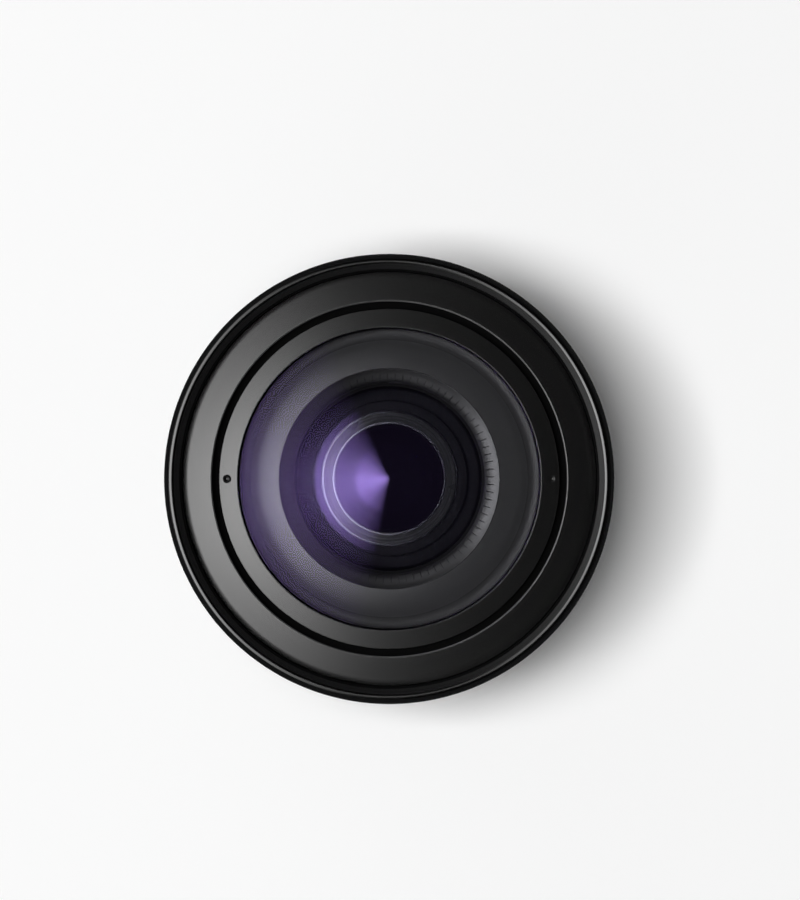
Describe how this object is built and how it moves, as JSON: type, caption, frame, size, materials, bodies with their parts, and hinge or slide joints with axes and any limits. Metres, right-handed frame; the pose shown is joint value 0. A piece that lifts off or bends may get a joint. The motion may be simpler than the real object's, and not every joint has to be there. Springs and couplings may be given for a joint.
{
  "type": "macro zoom lens",
  "caption": "Interchangeable macro zoom lens standing on its bayonet, with ribbed zoom and focus rings, nested barrels that extend, an iris and a purple-coated front element.",
  "frame": {"origin": "centre of the bayonet's flange face, where the lens meets the camera", "axes": "+Z along the optical axis towards the front element; X through the two spanner holes of the front retainer; +Y towards the bayonet's lock slot"},
  "size_m": [0.0824, 0.0824, 0.1032],
  "materials": {
    "shell_black": "fine satin black paint on magnesium alloy",
    "rim_black": "fine matt black",
    "bezel_satin": "satin black anodised, faint turning marks",
    "cell_black": "matt black anodised",
    "grip_rubber": "matt black ribbed rubber",
    "mount_metal": "turned satin plated brass",
    "screw_steel": "bright steel",
    "contact_plastic": "glass-filled black plastic",
    "contact_gold": "gold plated",
    "seal_rubber": "soft matt black rubber",
    "chassis_alloy": "cast alloy, grey",
    "board_green": "circuit board with solder mask",
    "barrel_black": "inner barrel, matt black",
    "cam_metal": "hard anodised, dark grey",
    "pin_brass": "turned brass",
    "coated_glass": "purple anti-reflection coating",
    "glass": "clear polished glass",
    "blade_black": "thin matt black steel",
    "carriage_black": "matt black carriage",
    "motor_steel": "drawn steel can",
    "rod_steel": "ground steel",
    "panel_black": "fine matt black panel",
    "switch_black": "satin black switch"
  },
  "bodies": {
    "body": {"mount_plate": "mount_metal", "mount_screws": "screw_steel", "mount_seal": "seal_rubber", "contact_block": "contact_plastic", "contact_pins": "contact_gold", "rear_baffle": "contact_plastic", "chassis": "chassis_alloy", "main_board": "board_green", "rear_shell": "shell_black", "switch_panel": "panel_black", "switch_block": "contact_plastic", "guide_barrel": "barrel_black", "guide_screws": "screw_steel", "cam_retainer": "rod_steel", "outer_barrel": "barrel_black", "index_ring": "shell_black", "front_collar": "shell_black", "focus_frame": "carriage_black", "guide_rods": "rod_steel", "focus_motor": "motor_steel", "rear_cell": "cell_black", "rear_lens": "glass"},
    "zoom_ring": {"zoom_sleeve": "shell_black", "zoom_grip": "grip_rubber", "zoom_keys": "pin_brass", "cam_barrel": "cam_metal"},
    "focus_ring": {"focus_sleeve": "shell_black", "focus_grip": "grip_rubber"},
    "front_group": {"front_tube": "barrel_black", "front_rollers": "pin_brass", "front_ring": "rim_black", "front_bezel": "bezel_satin", "front_cell": "cell_black", "front_retainer": "bezel_satin", "front_lens": "coated_glass", "inner_retainer": "cell_black", "second_lens": "coated_glass", "third_lens": "glass"},
    "variator_group": {"variator_carriage": "carriage_black", "variator_rollers": "pin_brass", "variator_lens": "coated_glass", "variator_retainer": "cell_black"},
    "relay_group": {"relay_carriage": "carriage_black", "relay_rollers": "pin_brass", "relay_lens": "glass", "iris_base": "blade_black", "iris_cover": "blade_black"},
    "iris_drive": {"iris_ring": "blade_black"},
    "focus_group": {"focus_cell": "carriage_black", "focus_lens": "glass"},
    "focus_spindle": {"lead_screw": "rod_steel"},
    "mode_switch": {"focus_mode_switch": "switch_black"},
    "limit_switch": {"focus_limit_switch": "switch_black"},
    "blade_1": {"iris_blade_1": "blade_black"},
    "blade_2": {"iris_blade_2": "blade_black"},
    "blade_3": {"iris_blade_3": "blade_black"},
    "blade_4": {"iris_blade_4": "blade_black"},
    "blade_5": {"iris_blade_5": "blade_black"},
    "blade_6": {"iris_blade_6": "blade_black"},
    "blade_7": {"iris_blade_7": "blade_black"}
  },
  "joints": [
    {"name": "zoom_turn", "type": "hinge", "parent": "body", "child": "zoom_ring", "pos_m": [0, 0, 0], "axis": [0, 0, 1], "range_deg": [0, 75]},
    {"name": "focus_turn", "type": "hinge", "parent": "body", "child": "focus_ring", "pos_m": [0, 0, 0], "axis": [0, 0, 1], "range_deg": [0, 130]},
    {"name": "front_travel", "type": "slide", "parent": "body", "child": "front_group", "axis": [0, 0, 1], "range_m": [0, 0.028]},
    {"name": "variator_travel", "type": "slide", "parent": "body", "child": "variator_group", "axis": [0, 0, 1], "range_m": [0, 0.012]},
    {"name": "relay_travel", "type": "slide", "parent": "body", "child": "relay_group", "axis": [0, 0, 1], "range_m": [0, 0.014]},
    {"name": "iris_turn", "type": "hinge", "parent": "relay_group", "child": "iris_drive", "pos_m": [0, 0, 0], "axis": [0, 0, 1], "range_deg": [0, 40]},
    {"name": "focus_travel", "type": "slide", "parent": "body", "child": "focus_group", "axis": [0, 0, 1], "range_m": [0, 0.009]},
    {"name": "spindle_spin", "type": "hinge", "parent": "body", "child": "focus_spindle", "pos_m": [0, 0.025, 0], "axis": [0, 0, 1], "range_deg": [0, 3600]},
    {"name": "mode_slide", "type": "slide", "parent": "body", "child": "mode_switch", "axis": [0, 0, 1], "range_m": [0, 0.003]},
    {"name": "limit_slide", "type": "slide", "parent": "body", "child": "limit_switch", "axis": [0, 0, 1], "range_m": [0, 0.003]},
    {"name": "blade_1_swing", "type": "hinge", "parent": "relay_group", "child": "blade_1", "pos_m": [0.0185, 0, 0.0505], "axis": [0, 0, 1], "range_deg": [0, 30]},
    {"name": "blade_2_swing", "type": "hinge", "parent": "relay_group", "child": "blade_2", "pos_m": [0.01153, 0.01446, 0.0505], "axis": [0, 0, 1], "range_deg": [0, 30]},
    {"name": "blade_3_swing", "type": "hinge", "parent": "relay_group", "child": "blade_3", "pos_m": [-0.00412, 0.01804, 0.0505], "axis": [0, 0, 1], "range_deg": [0, 30]},
    {"name": "blade_4_swing", "type": "hinge", "parent": "relay_group", "child": "blade_4", "pos_m": [-0.01667, 0.00803, 0.0505], "axis": [0, 0, 1], "range_deg": [0, 30]},
    {"name": "blade_5_swing", "type": "hinge", "parent": "relay_group", "child": "blade_5", "pos_m": [-0.01667, -0.00803, 0.0505], "axis": [0, 0, 1], "range_deg": [0, 30]},
    {"name": "blade_6_swing", "type": "hinge", "parent": "relay_group", "child": "blade_6", "pos_m": [-0.00412, -0.01804, 0.0505], "axis": [0, 0, 1], "range_deg": [0, 30]},
    {"name": "blade_7_swing", "type": "hinge", "parent": "relay_group", "child": "blade_7", "pos_m": [0.01153, -0.01446, 0.0505], "axis": [0, 0, 1], "range_deg": [0, 30]}
  ],
  "couplings": [
    {"joint": "front_travel", "follows": "zoom_turn", "m_per_rad": 0.02139},
    {"joint": "variator_travel", "follows": "zoom_turn", "m_per_rad": 0.0091673},
    {"joint": "relay_travel", "follows": "zoom_turn", "m_per_rad": 0.010695},
    {"joint": "focus_travel", "follows": "focus_turn", "m_per_rad": 0.0039666},
    {"joint": "spindle_spin", "follows": "focus_turn", "ratio": 27.692},
    {"joint": "blade_1_swing", "follows": "iris_turn", "ratio": 0.75},
    {"joint": "blade_2_swing", "follows": "iris_turn", "ratio": 0.75},
    {"joint": "blade_3_swing", "follows": "iris_turn", "ratio": 0.75},
    {"joint": "blade_4_swing", "follows": "iris_turn", "ratio": 0.75},
    {"joint": "blade_5_swing", "follows": "iris_turn", "ratio": 0.75},
    {"joint": "blade_6_swing", "follows": "iris_turn", "ratio": 0.75},
    {"joint": "blade_7_swing", "follows": "iris_turn", "ratio": 0.75}
  ]
}
